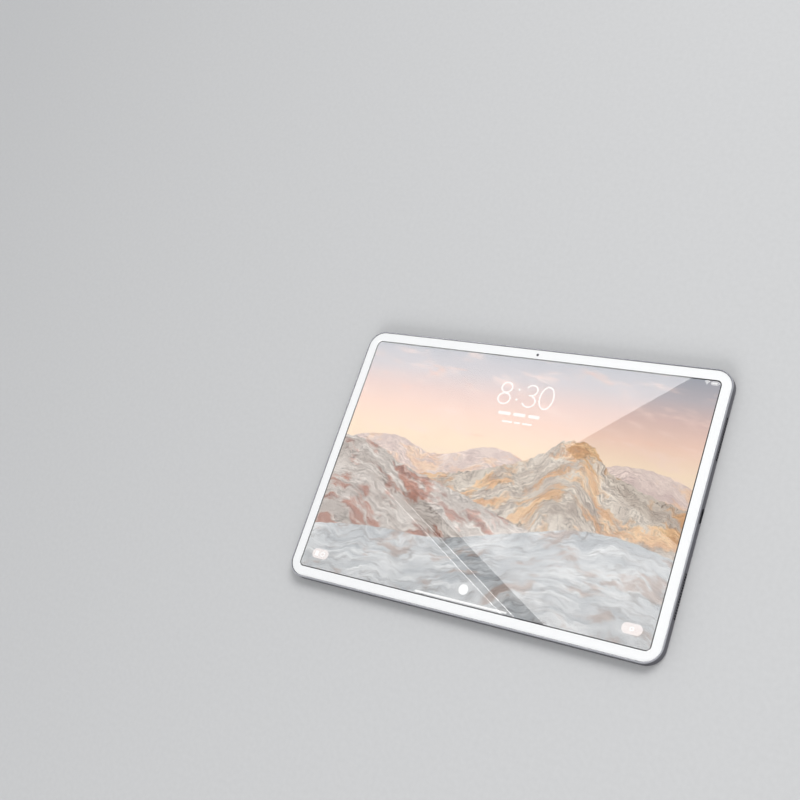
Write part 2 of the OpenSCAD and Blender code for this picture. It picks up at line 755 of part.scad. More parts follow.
rear_cover();
cover_glass();
border_print();
touch_sensor();
optical_adhesive();
lcd_cell();
diffuser_films();
light_guide();
reflector_sheet();
backlight_led_strip();
display_tray();
glass_gasket();
mid_frame();
frame_screws();
battery_cell_left();
battery_cell_right();
battery_adhesive();
battery_board();
battery_cable();
main_board();
processor();
memory_chips();
controller_chips();
shield_can_main();
shield_can_radio();
heat_spreader();
board_connectors();
board_screws();
display_flex();
usb_board();
usb_shell();
usb_tongue();
usb_contacts();
usb_flex();
speaker_right_upper();
speaker_right_lower();
speaker_left_upper();
speaker_left_lower();
speaker_meshes();
front_camera_module();
front_camera_lens();
rear_camera_module();
rear_camera_lens();
rear_camera_ring();
rear_camera_glass();
flash_led();
flash_lens();
light_sensor();
power_button();
volume_up_button();
volume_down_button();
key_switches();
key_flexes();
card_tray();
tray_seal();
card_reader();
microphones();
antenna_windows();
wifi_antennas();
antenna_cables();
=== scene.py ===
import json
import math

import bmesh
import bpy
from mathutils import Matrix, Vector


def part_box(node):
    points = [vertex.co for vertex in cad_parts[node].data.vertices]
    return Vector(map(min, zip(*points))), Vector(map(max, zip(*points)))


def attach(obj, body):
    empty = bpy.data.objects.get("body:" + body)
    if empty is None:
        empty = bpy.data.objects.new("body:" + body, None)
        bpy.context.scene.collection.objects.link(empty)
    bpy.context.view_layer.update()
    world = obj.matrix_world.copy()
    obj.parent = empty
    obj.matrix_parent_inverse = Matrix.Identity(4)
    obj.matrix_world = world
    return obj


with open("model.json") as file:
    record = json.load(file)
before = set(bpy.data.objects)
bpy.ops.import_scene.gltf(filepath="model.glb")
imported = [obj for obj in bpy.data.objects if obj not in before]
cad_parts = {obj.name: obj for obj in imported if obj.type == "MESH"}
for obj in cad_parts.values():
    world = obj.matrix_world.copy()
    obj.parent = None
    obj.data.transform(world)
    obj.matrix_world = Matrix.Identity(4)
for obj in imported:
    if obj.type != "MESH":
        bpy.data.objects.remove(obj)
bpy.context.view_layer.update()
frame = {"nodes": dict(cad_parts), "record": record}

NODES = frame["nodes"]
MM = 0.001  # metres in a millimetre


# ---------- node material helper ----------


class Shade:
    """Builds one node material. An input is a socket or a plain value."""

    def __init__(self, name):
        self.material = bpy.data.materials.new(name)
        self.material.use_nodes = True
        self.tree = self.material.node_tree
        self.tree.nodes.clear()
        self.out = self.tree.nodes.new("ShaderNodeOutputMaterial")

    def add(self, kind, inputs=None, **settings):
        """A shader node of that kind, with its settings and inputs."""
        node = self.tree.nodes.new("ShaderNode" + kind)
        for key, value in settings.items():
            setattr(node, key, value)
        for key, value in (inputs or {}).items():
            self.feed(node.inputs[key], value)
        return node

    def feed(self, socket, value):
        """Links the value to the socket, or sets it there where it is plain."""
        if isinstance(value, bpy.types.NodeSocket):
            self.tree.links.new(value, socket)
        elif socket.type == "RGBA" and len(value) == 3:
            socket.default_value = (*value, 1)
        else:
            socket.default_value = value

    def math(self, operation, a, b=0.0):
        return self.add("Math", {0: a, 1: b}, operation=operation).outputs[0]

    def plus(self, a, b):
        return self.math("ADD", a, b)

    def minus(self, a, b):
        return self.math("SUBTRACT", a, b)

    def times(self, a, b):
        return self.math("MULTIPLY", a, b)

    def step(self, value, low, high, to_low=0.0, to_high=1.0):
        """Smooth step of value from low to high."""
        ends = {"From Min": low, "From Max": high, "To Min": to_low, "To Max": to_high}
        return self.add("MapRange", {"Value": value, **ends}, interpolation_type="SMOOTHSTEP").outputs[0]

    def mix(self, amount, a, b):
        """Colour a, turning into colour b as amount goes from 0 to 1."""
        return self.add("Mix", {0: amount, 6: a, 7: b}, data_type="RGBA").outputs[2]

    def lit(self, colour, light):
        """The colour, brightened or darkened by a factor."""
        return self.add("VectorMath", {0: colour, 3: light}, operation="SCALE").outputs[0]

    def within(self, value, low, high):
        return self.math("MAXIMUM", self.math("MINIMUM", value, high), low)

    def place(self):
        """Position in the row frame, in millimetres."""
        metres = self.add("TexCoord").outputs["Object"]
        return self.scaled(metres, (1 / MM,) * 3)

    def scaled(self, vector, factors):
        return self.add("VectorMath", {0: vector, 1: factors}, operation="MULTIPLY").outputs[0]

    def split(self, vector):
        return self.add("SeparateXYZ", {0: vector}).outputs[:3]

    def join(self, x, y, z=0.0):
        return self.add("CombineXYZ", {0: x, 1: y, 2: z}).outputs[0]

    def length(self, vector):
        return self.add("VectorMath", {0: vector}, operation="LENGTH").outputs["Value"]

    def noise(self, vector, size, detail=3.0, rough=0.5, twist=0.0):
        """Noise whose features are about size millimetres across, from 0 to 1."""
        grain = {"Scale": 1 / size, "Detail": detail, "Roughness": rough, "Distortion": twist}
        return self.add("TexNoise", {"Vector": vector, **grain}).outputs["Fac"]

    def curve(self, value, points, low, high):
        """A smooth line through points (value, height). Its heights lie between low and high."""
        start = points[0][0]
        end = points[-1][0]
        share = self.add("MapRange", {"Value": value, "From Min": start, "From Max": end})
        node = self.add("FloatCurve", {"Value": share.outputs[0]})
        line = node.mapping.curves[0]
        while len(line.points) < len(points):
            line.points.new(0.5, 0.5)
        for knot, (x, y) in zip(line.points, points):
            knot.location = ((x - start) / (end - start), (y - low) / (high - low))
        node.mapping.update()
        return self.add("MapRange", {"Value": node.outputs[0], "To Min": low, "To Max": high}).outputs[0]

    def ramp(self, value, stops):
        """Colour over value, through stops (value, colour)."""
        node = self.add("ValToRGB", {"Fac": value})
        ramp = node.color_ramp
        while len(ramp.elements) < len(stops):
            ramp.elements.new(0.5)
        for element, (at, colour) in zip(ramp.elements, stops):
            element.position = at
            element.color = (*colour, 1)
        return node.outputs["Color"]

    def bump(self, height, depth):
        """Surface direction where height, from 0 to 1, stands up by depth millimetres."""
        return self.add("Bump", {"Height": height, "Distance": depth * MM}).outputs["Normal"]

    def principled(self, **inputs):
        """The main shader. Its sockets are named with _ in place of a space."""
        named = {key.replace("_", " "): value for key, value in inputs.items()}
        return self.add("BsdfPrincipled", named)

    def finish(self, shader):
        self.tree.links.new(shader.outputs[0], self.out.inputs["Surface"])
        return self.material


def linear(*rgb):
    """Linear colour from screen values over 10 and up to 255."""
    return tuple(((c / 255 + 0.055) / 1.055) ** 2.4 for c in rgb)


def tinted(tone, factor):
    """A lighter or darker tone, no lighter than white."""
    return tuple(min(1, c * factor) for c in tone)


# ---------- camera, floor and light ----------

LENS = 55.25  # millimetres
SENSOR = 36
CAMERA_AT = Vector((0.356, -0.183, 0.65))
CAMERA_AIM = Vector((-0.0933, 0.0432, 0))
CAMERA_ROLL = -49.1  # degrees

BACKDROP = (0.9, 0.92, 0.95)
BACKDROP_STRENGTH = 0.6
FLOOR_HALF = 12  # metres
FLOOR_DROP = 0.2  # millimetres below the back of the tablet
FLOOR_FADE = (600, 1500)  # millimetres from the tablet over which the floor turns into the backdrop


def make_camera():
    """The camera, rolled about its line of sight."""
    data = bpy.data.cameras.new("camera")
    data.lens = LENS
    data.sensor_width = SENSOR
    data.clip_start = 0.01
    camera = bpy.data.objects.new("camera", data)
    turn = (CAMERA_AIM - CAMERA_AT).to_track_quat("-Z", "Y").to_matrix().to_4x4()
    roll = Matrix.Rotation(math.radians(CAMERA_ROLL), 4, "Z")
    camera.matrix_world = Matrix.Translation(CAMERA_AT) @ turn @ roll
    bpy.context.scene.collection.objects.link(camera)
    bpy.context.scene.camera = camera


def make_floor():
    """A pale floor that fades into the backdrop far from the tablet."""
    data = bpy.data.meshes.new("floor")
    signs = ((-1, -1), (1, -1), (1, 1), (-1, 1))
    corners = [(sx * FLOOR_HALF, sy * FLOOR_HALF, 0) for sx, sy in signs]
    data.from_pydata(corners, [], [range(4)])
    floor = bpy.data.objects.new("floor", data)
    floor.location.z = -FLOOR_DROP * MM
    bpy.context.scene.collection.objects.link(floor)
    s = Shade("floor")
    grain = s.noise(s.place(), 3, 4)
    tone = s.ramp(grain, [(0.3, (0.50, 0.50, 0.50)), (0.7, (0.52, 0.52, 0.52))])
    near = s.principled(Base_Color=tone, Roughness=0.8)
    far = s.add("Emission", {"Color": BACKDROP, "Strength": BACKDROP_STRENGTH})
    fade = s.step(s.length(s.place()), *FLOOR_FADE)
    surface = s.add("MixShader", {0: fade, 1: near.outputs[0], 2: far.outputs[0]})
    data.materials.append(s.finish(surface))


def make_light(name, at, size, power):
    """A white panel that faces the tablet and isn't seen in reflections."""
    data = bpy.data.lights.new(name, "AREA")
    data.shape = "RECTANGLE"
    data.size, data.size_y = size
    data.energy = power
    light = bpy.data.objects.new(name, data)
    light.location = at
    light.visible_glossy = False
    light.rotation_euler = (-Vector(at)).to_track_quat("-Z", "Y").to_euler()
    bpy.context.scene.collection.objects.link(light)


def make_studio():
    """Even light from all round, with a soft key from behind and a softer fill from the front."""
    world = bpy.data.worlds.new("studio")
    world.use_nodes = True
    background = world.node_tree.nodes["Background"]
    background.inputs["Color"].default_value = (*BACKDROP, 1)
    background.inputs["Strength"].default_value = BACKDROP_STRENGTH
    bpy.context.scene.world = world
    make_light("key", (0.7, 1.1, 1.6), (1.1, 1.1), 29)
    make_light("fill", (0.3, -1.5, 0.9), (1.2, 0.8), 14)
    bpy.context.scene.view_settings.view_transform = "Standard"


CARD_HEIGHT = 1.0  # metres
CARD_REACH = 95  # millimetres up and down the glass over which a card's strength is given
MOST_STRENGTH = 8


def seen_in_glass(x, y, height):
    """Where a point at that height lies if it shows mirrored at x, y millimetres on the glass."""
    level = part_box("cover_glass")[1][2]
    mirrored = Vector((CAMERA_AT.x, CAMERA_AT.y, 2 * level - CAMERA_AT.z))
    grow = (height - mirrored.z) / (level - mirrored.z)
    return mirrored + (Vector((x * MM, y * MM, level)) - mirrored) * grow


def make_card(name, corners, strengths, height=CARD_HEIGHT):
    """A light card for reflections only: its straight edges cross the glass as veils of glare.

    corners are x, y millimetres on the glass; strengths are points (y on the glass, strength).
    """
    data = bpy.data.meshes.new(name)
    data.from_pydata([seen_in_glass(x, y, height) for x, y in corners], [], [range(len(corners))])
    card = bpy.data.objects.new(name, data)
    bpy.context.scene.collection.objects.link(card)
    card.visible_camera = False
    card.visible_diffuse = False
    card.visible_transmission = False
    card.visible_shadow = False
    s = Shade(name)
    y = s.split(s.place())[1]
    foot, head = (seen_in_glass(0, end, height).y / MM for end in (-CARD_REACH, CARD_REACH))
    ends = {"From Min": foot, "From Max": head, "To Min": -CARD_REACH, "To Max": CARD_REACH}
    along = s.add("MapRange", {"Value": y, **ends}).outputs[0]
    strength = s.curve(along, strengths, 0, MOST_STRENGTH)
    data.materials.append(s.finish(s.add("Emission", {"Color": (1.0, 0.99, 0.98), "Strength": strength})))


def make_cards():
    """Soft light over the picture, crossed at a slant by a dark strip and two bright lines.

    The slanting edges are told apart by shift, the x at which each would cross the height foot.
    """
    margin = 0.3
    half_w = PICTURE_W / 2 + margin
    half_h = PICTURE_H / 2 + margin
    fall = 0.57  # how steeply the slanting edges run down to the right
    foot = -90

    def at_x(x, shift):
        """Where a slanting edge passes x."""
        return x, foot - fall * (x - shift)

    def at_y(y, shift):
        """Where a slanting edge passes y."""
        return shift - (y - foot) / fall, y

    def strip(name, start, shift, width, strengths, height=CARD_HEIGHT):
        """A slanting card from x = start down to the lower edge of the picture."""
        edge = shift + width
        corners = [at_x(start, shift), at_y(-half_h, shift), at_y(-half_h, edge), at_x(start, edge)]
        make_card(name, corners, strengths, height)

    grey_from, dark_from, dark_to = 45, 54, 73
    clear_wedge = [(103, half_h), (38, 25), (half_w, -20)]  # no card on the right of this line
    upper = [(-half_w, half_h)] + clear_wedge + [(half_w, -half_h)]
    upper += [at_y(-half_h, dark_to), at_x(-half_w, dark_to)]
    lower = [at_x(-half_w, grey_from), at_y(-half_h, grey_from), (-half_w, -half_h)]
    sky_light = [(-8, 1.6), (12, 1.8), (40, 3.1), (95, 4.2)]
    make_card("card_upper", upper, [(-95, 3.0), (-30, 2.8)] + sky_light)
    make_card("card_lower", lower, [(-95, 2.0), (-30, 2.0)] + sky_light)
    grey = [(-95, 1.0), (-30, 1.2)] + sky_light
    strip("card_grey", -half_w, grey_from, dark_from - grey_from, grey)
    dark = [(-95, 0), (-45, 0), (-22, 0.8)] + sky_light
    strip("card_dark", -half_w, dark_from, dark_to - dark_from, dark)
    in_front = CARD_HEIGHT - 0.004
    line_start = -84
    line_a = [(-95, 7.0), (-40, 5.0), (-16, 2.5), (0, 0.5)]
    strip("card_line_a", line_start, 53.4, 0.9, line_a, in_front)
    line_b = [(-95, 7.5), (-40, 6.0), (-16, 3.0), (0, 0.5)]
    strip("card_line_b", line_start, 44.8, 0.8, line_b, in_front)


# ---------- the picture on the display ----------

PICTURE_W = 241.4  # millimetres, like every size on the display
PICTURE_H = 161.4
PICTURE_R = 2.7
PICTURE_SOFT = 0.05  # half the width over which its edge fades
LIT_SKIN = 0.02  # how deep into the display the picture goes

SKY_FROM = -20  # height at which the sky's colours begin, behind the rock
SKY = [
    (0.0, linear(250, 231, 202)),
    (0.40, linear(248, 222, 194)),
    (0.56, linear(240, 203, 184)),
    (0.72, linear(216, 186, 178)),
    (0.86, linear(186, 178, 182)),
    (1.0, linear(160, 162, 171)),
]

# The ridges from back to front. crest is points (x, y), rough is how far it strays from them, and
# share is how much of the ridge shows its other pair of tones. size, stretch and crack are those
# of stone(), and fold_at is where the noise that folds the layers is read.
RIDGES = [
    {
        "crest": [(-125, 8), (-85, 17), (-50, 9), (-10, 19), (35, 9), (80, 21), (125, 12)],
        "rough": 1.5, "share": 0.4, "size": 2.0, "stretch": 0.3, "crack": 0.15, "fold_at": 680,
        "tones": (linear(206, 184, 178), linear(230, 210, 200)),
        "others": (linear(224, 186, 160), linear(240, 208, 178)),
    },
    {
        "crest": [(-125, -18), (-70, -8), (-20, 2), (20, 18), (45, 32), (70, 16), (100, 5), (125, 0)],
        "rough": 4.0, "share": 0.5, "size": 2.4, "stretch": 0.24, "crack": 0.8, "fold_at": -320,
        "tones": (linear(176, 160, 148), linear(222, 210, 196)),
        "others": (linear(204, 152, 106), linear(238, 196, 146)),
    },
    {
        "crest": [(-125, 12), (-100, 10), (-70, -2), (-30, -12), (20, -26), (70, -38), (125, -50)],
        "rough": 2.4, "share": 0.45, "size": 2.8, "stretch": 0.16, "crack": 0.7, "fold_at": 400,
        "tones": (linear(178, 166, 158), linear(220, 211, 204)),
        "others": (linear(142, 88, 72), linear(194, 130, 106)),
    },
    {
        "crest": [(-125, -52), (-80, -46), (-30, -44), (20, -32), (70, -22), (125, -30)],
        "rough": 1.2, "share": 0.3, "size": 4.6, "stretch": 0.16, "crack": 0.45, "fold_at": -1840,
        "tones": (linear(166, 170, 174), linear(212, 213, 214)),
        "others": (linear(150, 134, 128), linear(184, 168, 160)),
    },
]
CREST_LIMIT = 60  # millimetres that a crest may lie above or below the middle
CRACK = linear(84, 70, 62)


def rock(s, x, y, crest, rough):
    """How far a point lies below a rough crest line, and how much of the rock covers it."""
    crag = s.times(s.minus(s.noise(s.join(x, y), 6, 4, 0.6), 0.5), rough * 2)
    depth = s.minus(s.plus(s.curve(x, crest, -CREST_LIMIT, CREST_LIMIT), crag), y)
    return depth, s.step(depth, 0, 0.5)


def layered(s, x, across, size, stretch):
    """Noise drawn out along the layers of the rock, from 0 to 1."""
    return s.noise(s.join(s.times(x, stretch), across), size, 5, 0.62)


def cracks(s, x, across, size, stretch, width):
    """Thin wandering cracks along the layers, from 0 to 1."""
    field = s.noise(s.join(s.times(x, stretch), across), size, 3, 0.6)
    return s.step(s.math("ABSOLUTE", s.minus(field, 0.5)), width, 0)


def stone(s, x, across, low_tone, high_tone, size, stretch, crack, relief=1.6):
    """Colour of layered rock: soft bands, lit upper lips, dark cracks, and calmer stretches between.

    across runs through the layers, whose bands are about size thick and 1 / stretch times as long.
    crack and relief are how strongly the cracks and the lips show. Each noise is read at its own
    shift of x or across, so that no two have the same pattern.
    """
    layer = layered(s, x, across, size, stretch)
    under = layered(s, s.plus(x, 0.8), s.plus(across, -0.4), size, stretch)
    worn = s.step(s.noise(s.join(s.times(x, 0.5), s.plus(across, 90)), 22, 3, 0.5), 0.40, 0.60)
    rugged = s.minus(1, s.times(worn, 0.75))
    broad = layered(s, s.plus(x, 70), across, size * 5, stretch * 2)
    banding = s.times(s.minus(layer, 0.5), s.times(rugged, 3.2))
    level = s.plus(banding, s.times(s.minus(broad, 0.5), 2.6))
    tone = s.mix(s.step(level, -0.55, 0.55), low_tone, high_tone)
    slope = s.times(s.minus(layer, under), rugged)
    light = s.within(s.plus(1, s.times(slope, relief)), 0.72, 1.22)
    patch = s.step(s.noise(s.join(x, across), 16, 3, 0.5), 0.42, 0.62)
    fine = s.times(cracks(s, x, across, size * 1.8, stretch, 0.028), 0.55)
    bold = s.times(cracks(s, s.plus(x, 40), across, size * 4, stretch * 1.4, 0.016), patch)
    lines = s.times(s.math("MAXIMUM", fine, bold), crack)
    return s.mix(lines, s.lit(tone, light), CRACK)


def sky(s, x, y):
    """Grey-blue above, peach and straw below, with long streaks of cloud."""
    height = s.add("MapRange", {"Value": y, "From Min": SKY_FROM, "From Max": PICTURE_H / 2})
    colour = s.ramp(height.outputs[0], SKY)
    drift = s.plus(y, s.times(x, 0.12))
    streak = s.noise(s.join(s.times(x, 0.3), drift), 9, 4, 0.6)
    colour = s.mix(s.times(s.step(streak, 0.50, 0.72), 0.5), colour, linear(246, 216, 204))
    glow = s.noise(s.join(s.times(x, 0.25), s.plus(drift, 60)), 12, 5, 0.6, 0.8)
    return s.mix(s.times(s.step(glow, 0.60, 0.76), 0.6), colour, linear(238, 176, 146))


def ridge(s, x, y, colour, crest, rough, tones, others, share, size, stretch, crack, fold_at):
    """One rocky ridge over what lies behind it: folded layers in two pairs of tones."""
    depth, cover = rock(s, x, y, crest, rough)
    fold = s.noise(s.join(s.plus(x, fold_at), y), 24, 3, 0.5)
    across = s.plus(depth, s.times(fold, 22))
    first = stone(s, x, across, *tones, size=size, stretch=stretch, crack=crack)
    second = stone(s, x, across, *others, size=size, stretch=stretch, crack=crack * 0.6, relief=1.0)
    band = layered(s, x, s.plus(across, 30), 14, 0.4)
    level = 0.62 - 0.2 * share
    amount = s.times(s.step(band, level - 0.04, level + 0.06), 0.9)
    shade = s.step(depth, 60, 8, 0.84, 1.0)
    return s.mix(cover, colour, s.lit(s.mix(amount, first, second), shade))


def picture():
    """A made-up range of layered rock at sunset, lit from behind the display."""
    s = Shade("display_picture")
    x, y, z = s.split(s.place())
    colour = sky(s, x, y)
    for shape in RIDGES:
        colour = ridge(s, x, y, colour, **shape)

    # the lit area with its round corners, and a black margin and dark sides round it
    over_x = s.math("MAXIMUM", s.minus(s.math("ABSOLUTE", x), PICTURE_W / 2 - PICTURE_R), 0)
    over_y = s.math("MAXIMUM", s.minus(s.math("ABSOLUTE", y), PICTURE_H / 2 - PICTURE_R), 0)
    reach = s.length(s.join(over_x, over_y))
    lit = s.step(reach, PICTURE_R + PICTURE_SOFT, PICTURE_R - PICTURE_SOFT)
    top = s.math("GREATER_THAN", z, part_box("lcd_cell")[1][2] / MM - LIT_SKIN)
    shown = s.mix(s.times(lit, top), (0, 0, 0), colour)
    glow = {"Emission_Color": shown, "Emission_Strength": 1.0}
    return s.finish(s.principled(Base_Color=(0.012, 0.012, 0.014), Roughness=0.35, **glow))


# ---------- what the display shows on top of the picture ----------

MARK_GAP = 0.005  # millimetres between the display and the foot of a mark
MARK_T = 0.03
ICON_LIFT = 0.04  # from the foot of a pill to the foot of its icon
PILL_X = 108
PILL_Y = -71.2


def flat_solid(name, outlines, level):
    """Thin closed solids from outlines. An outline is a ring of points, or two rings for a band."""
    mesh = bmesh.new()

    def raised(loop, z):
        return [mesh.verts.new((x * MM, y * MM, z * MM)) for x, y in loop]

    for outline in outlines:
        rings = outline if isinstance(outline[0][0], (tuple, list)) else [outline]
        low = [raised(loop, level) for loop in rings]
        high = [raised(loop, level + MARK_T) for loop in rings]
        count = len(rings[0])
        for i in range(count):
            j = (i + 1) % count
            mesh.faces.new((low[0][i], low[0][j], high[0][j], high[0][i]))
            if len(rings) == 2:
                mesh.faces.new((low[1][j], low[1][i], high[1][i], high[1][j]))
                mesh.faces.new((high[0][i], high[0][j], high[1][j], high[1][i]))
                mesh.faces.new((low[0][j], low[0][i], low[1][i], low[1][j]))
        if len(rings) == 1:
            mesh.faces.new(high[0])
            mesh.faces.new(list(reversed(low[0])))
    data = bpy.data.meshes.new(name)
    mesh.to_mesh(data)
    mesh.free()
    piece = bpy.data.objects.new(name, data)
    bpy.context.scene.collection.objects.link(piece)
    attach(piece, "tablet")
    return piece


def oval(cx, cy, w, h, count=56):
    """Points round an oval, anticlockwise."""
    turn = [2 * math.pi * i / count for i in range(count)]
    return [(cx + w / 2 * math.cos(a), cy + h / 2 * math.sin(a)) for a in turn]


def bar(cx, cy, w, h, count=20):
    """Points round a bar with round ends, anticlockwise."""
    r = h / 2
    points = []
    for side, start in ((1, -90), (-1, 90)):
        for i in range(count + 1):
            a = math.radians(start + 180 * i / count)
            points.append((cx + side * (w / 2 - r) + r * math.cos(a), cy + r * math.sin(a)))
    return points


def stroke(path, width):
    """Outline of a line of even width along an open path, with square ends."""
    left = []
    right = []
    for i, (x, y) in enumerate(path):
        ax, ay = path[max(i - 1, 0)]
        bx, by = path[min(i + 1, len(path) - 1)]
        scale = width / 2 / math.hypot(bx - ax, by - ay)
        nx = -(by - ay) * scale
        ny = (bx - ax) * scale
        left.append((x + nx, y + ny))
        right.append((x - nx, y - ny))
    return right + left[::-1]


def arc(cx, cy, w, h, start, end, count=28):
    """Points along part of an oval, from one angle to another."""
    turn = [math.radians(start + (end - start) * i / count) for i in range(count + 1)]
    return [(cx + w / 2 * math.cos(a), cy + h / 2 * math.sin(a)) for a in turn]


def ring(cx, cy, w, h, line):
    """An oval band, line wide."""
    return [oval(cx, cy, w, h), oval(cx, cy, w - 2 * line, h - 2 * line)]


def screen_light(name, tone, cover=1.0):
    """A lit mark on the display, or a veil over the picture where cover is under 1."""
    s = Shade(name)
    grain = s.noise(s.place(), 2, 2)
    colour = s.ramp(grain, [(0.3, tinted(tone, 0.985)), (0.7, tone)])
    glow = {"Emission_Color": colour, "Emission_Strength": 0.95}
    shader = s.principled(Base_Color=(0.02, 0.02, 0.02), Roughness=0.4, **glow)
    if cover < 1:
        see = s.add("BsdfTransparent", {"Color": (1, 1, 1)})
        shader = s.add("MixShader", {0: cover, 1: see.outputs[0], 2: shader.outputs[0]})
    return s.finish(shader)


def clock():
    """The numerals and the colon between them, drawn with plain arcs."""
    line = 0.95
    middle = 56
    upper = middle + 3.9
    eight = [ring(-13.8, upper, 8.2, 7.8, line), ring(-13.8, middle - 3.65, 9.4, 8.3, line)]
    colon = [oval(-4.9, middle + y, 1.5, 1.5, 24) for y in (3.4, -3.4)]
    three = [
        stroke(arc(4.0, upper, 7.6, 6.9, 160, -78), line),
        stroke(arc(3.8, middle - 3.75, 8.8, 7.4, 76, -160), line),
        stroke([(2.6, middle + 0.35), (4.9, middle + 0.35)], line * 0.8),
    ]
    zero = [ring(15.2, middle, 10.2, 15.8, line)]
    return eight + colon + three + zero


def date_bars():
    """Plain bars in place of two lines of writing."""
    first = [bar(x, 42.6, w, 2.2) for x, w in ((-10.2, 9), (0.4, 8.6), (10.6, 8))]
    second = [bar(x, 37.2, w, 1.3) for x, w in ((-6.6, 7.6), (0.6, 4.6), (7.4, 7))]
    return first + second


def status_icons():
    """A battery with its charge and its cap, and the waves of a radio signal."""
    top = 79.2
    case = [bar(117.2, top, 4.8, 2.3, 8), bar(117.2, top, 4.3, 1.8, 8)]
    battery = [case, bar(117.0, top, 3.6, 1.2, 8), bar(120.0, top, 0.35, 0.8, 6)]
    waves = [stroke(arc(112.4, top - 0.9, d, d, 45, 135, 12), 0.42) for d in (1.6, 3.0, 4.4)]
    return battery + waves + [oval(112.4, top - 0.8, 0.6, 0.6, 12)]


def pill_icons():
    """A torch-like bar and ring in the left pill, and a lens-like ring in the right one."""
    left = [ring(-106.2, PILL_Y, 3.4, 3.4, 0.55), bar(-110.8, PILL_Y, 0.8, 3.2, 6)]
    return left + [ring(PILL_X, PILL_Y, 2.6, 2.6, 0.5)]


def make_marks():
    """Everything that the display shows over the picture, each mark in its own tone of light."""
    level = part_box("lcd_cell")[1][2] / MM + MARK_GAP
    white = screen_light("display_white", (1.0, 1.0, 1.0))
    warm = screen_light("display_warm_white", (0.97, 0.90, 0.88))
    faint = screen_light("display_faint", (1.0, 0.94, 0.91), 0.6)
    veil = screen_light("display_veil", (1.0, 0.90, 0.87), 0.45)
    pills = [bar(side * PILL_X, PILL_Y, 12.6, 6.4) for side in (-1, 1)]
    marks = [
        ("display_clock", clock(), level, warm),
        ("display_date_bars", date_bars(), level, faint),
        ("display_status_icons", status_icons(), level, white),
        ("display_dot", [oval(0, -71.9, 6.4, 6.4)], level, white),
        ("display_home_bar", [bar(0, -79.4, 64, 1.2)], level, white),
        ("display_corner_pills", pills, level, veil),
        ("display_pill_icons", pill_icons(), level + ICON_LIFT, white),
    ]
    for name, outlines, height, light in marks:
        piece = flat_solid(name, outlines, height)
        piece.data.materials.append(light)


# ---------- materials of the parts ----------

SLATE = linear(108, 107, 115)
RIM_DEPTH = 0.7  # millimetres of the body's front edge that are cut smoother and painted brighter as a highlight
THREAD_PITCH = 0.25  # millimetres from one thread of the mesh to the next
RIB_PITCH = 0.5  # and from one rib of the flash's window to the next


def metal(name, tone, rough=0.36, grain=0.35, stretch=(1, 1, 1), rim_and_highlight_tone=None):
    """Blasted and anodised, or rolled, metal. The tone given for the rim is that of a finer cut edge
    round the glass, lighter than the body as a painted highlight.
    """
    s = Shade(name)
    p = s.scaled(s.place(), stretch)
    speck = s.noise(p, grain, 2, 0.6)
    cloud = s.noise(p, 18, 2)
    shade = s.plus(s.times(speck, 0.8), s.times(cloud, 0.2))
    colour = s.ramp(shade, [(0.35, tinted(tone, 0.93)), (0.65, tinted(tone, 1.06))])
    roughness = s.step(speck, 0.2, 0.8, rough - 0.05, rough + 0.06)
    if rim_and_highlight_tone:
        z = s.split(s.place())[2]
        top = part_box("rear_cover")[1][2] / MM
        # painted highlight: the cut front edge is lighter in colour, as well as really smoother
        cut_and_highlight = s.step(z, top - RIM_DEPTH, top - RIM_DEPTH / 3)
        colour = s.mix(cut_and_highlight, colour, rim_and_highlight_tone)
        roughness = s.times(roughness, s.minus(1, s.times(cut_and_highlight, 0.4)))
    normal = s.bump(speck, 0.012)
    return s.finish(s.principled(Base_Color=colour, Metallic=1.0, Roughness=roughness, Normal=normal))


def plain(name, tone, rough, depth=0.01, spread=0.1):
    """Moulded plastic, ink, rubber, film or foam. Its tone varies by spread each way."""
    s = Shade(name)
    p = s.place()
    speck = s.noise(p, 0.6, 3, 0.6)
    cloud = s.noise(p, 12, 2)
    shade = s.plus(s.times(speck, 0.6), s.times(cloud, 0.4))
    colour = s.ramp(shade, [(0.35, tinted(tone, 1 - spread)), (0.65, tinted(tone, 1 + spread))])
    roughness = s.step(speck, 0.2, 0.8, max(0.02, rough - 0.04), rough + 0.05)
    normal = s.bump(speck, depth)
    return s.finish(s.principled(Base_Color=colour, Roughness=roughness, Normal=normal))


def clear_sheet(name, tint=(1, 1, 1)):
    """Thin clear glass with faint finger smears: what is behind shows, with reflections on top."""
    s = Shade(name)
    touch = s.step(s.noise(s.place(), 30, 4, 0.6, 0.6), 0.45, 0.8)
    roughness = s.step(touch, 0, 1, 0.0, 0.004)
    mirror = s.add("BsdfAnisotropic", {"Color": (1, 1, 1), "Roughness": roughness})
    see = s.add("BsdfTransparent", {"Color": tint})
    facing = s.add("LayerWeight", {"Blend": 0.5}).outputs["Facing"]
    gleam = s.plus(0.04, s.times(s.math("POWER", facing, 5.0), 0.96))
    return s.finish(s.add("MixShader", {0: gleam, 1: see.outputs[0], 2: mirror.outputs[0]}))


def clear_film(name):
    """Film or adhesive bonded under the glass: clear, with the faintest unevenness."""
    s = Shade(name)
    tone = s.ramp(s.noise(s.place(), 20, 2), [(0.3, (0.992, 0.994, 0.994)), (0.7, (1, 1, 1))])
    return s.finish(s.add("BsdfTransparent", {"Color": tone}))


def weave(name, tone):
    """Fine woven mesh behind the speaker slots."""
    s = Shade(name)
    y, z = s.split(s.place())[1:]
    across = s.math("SINE", s.times(y, 2 * math.pi / THREAD_PITCH))
    along = s.math("SINE", s.times(z, 2 * math.pi / THREAD_PITCH))
    thread = s.math("MAXIMUM", across, along)
    colour = s.ramp(s.step(thread, 0, 1), [(0.2, tinted(tone, 0.3)), (0.9, tone)])
    return s.finish(s.principled(Base_Color=colour, Roughness=0.7, Normal=s.bump(thread, 0.04)))


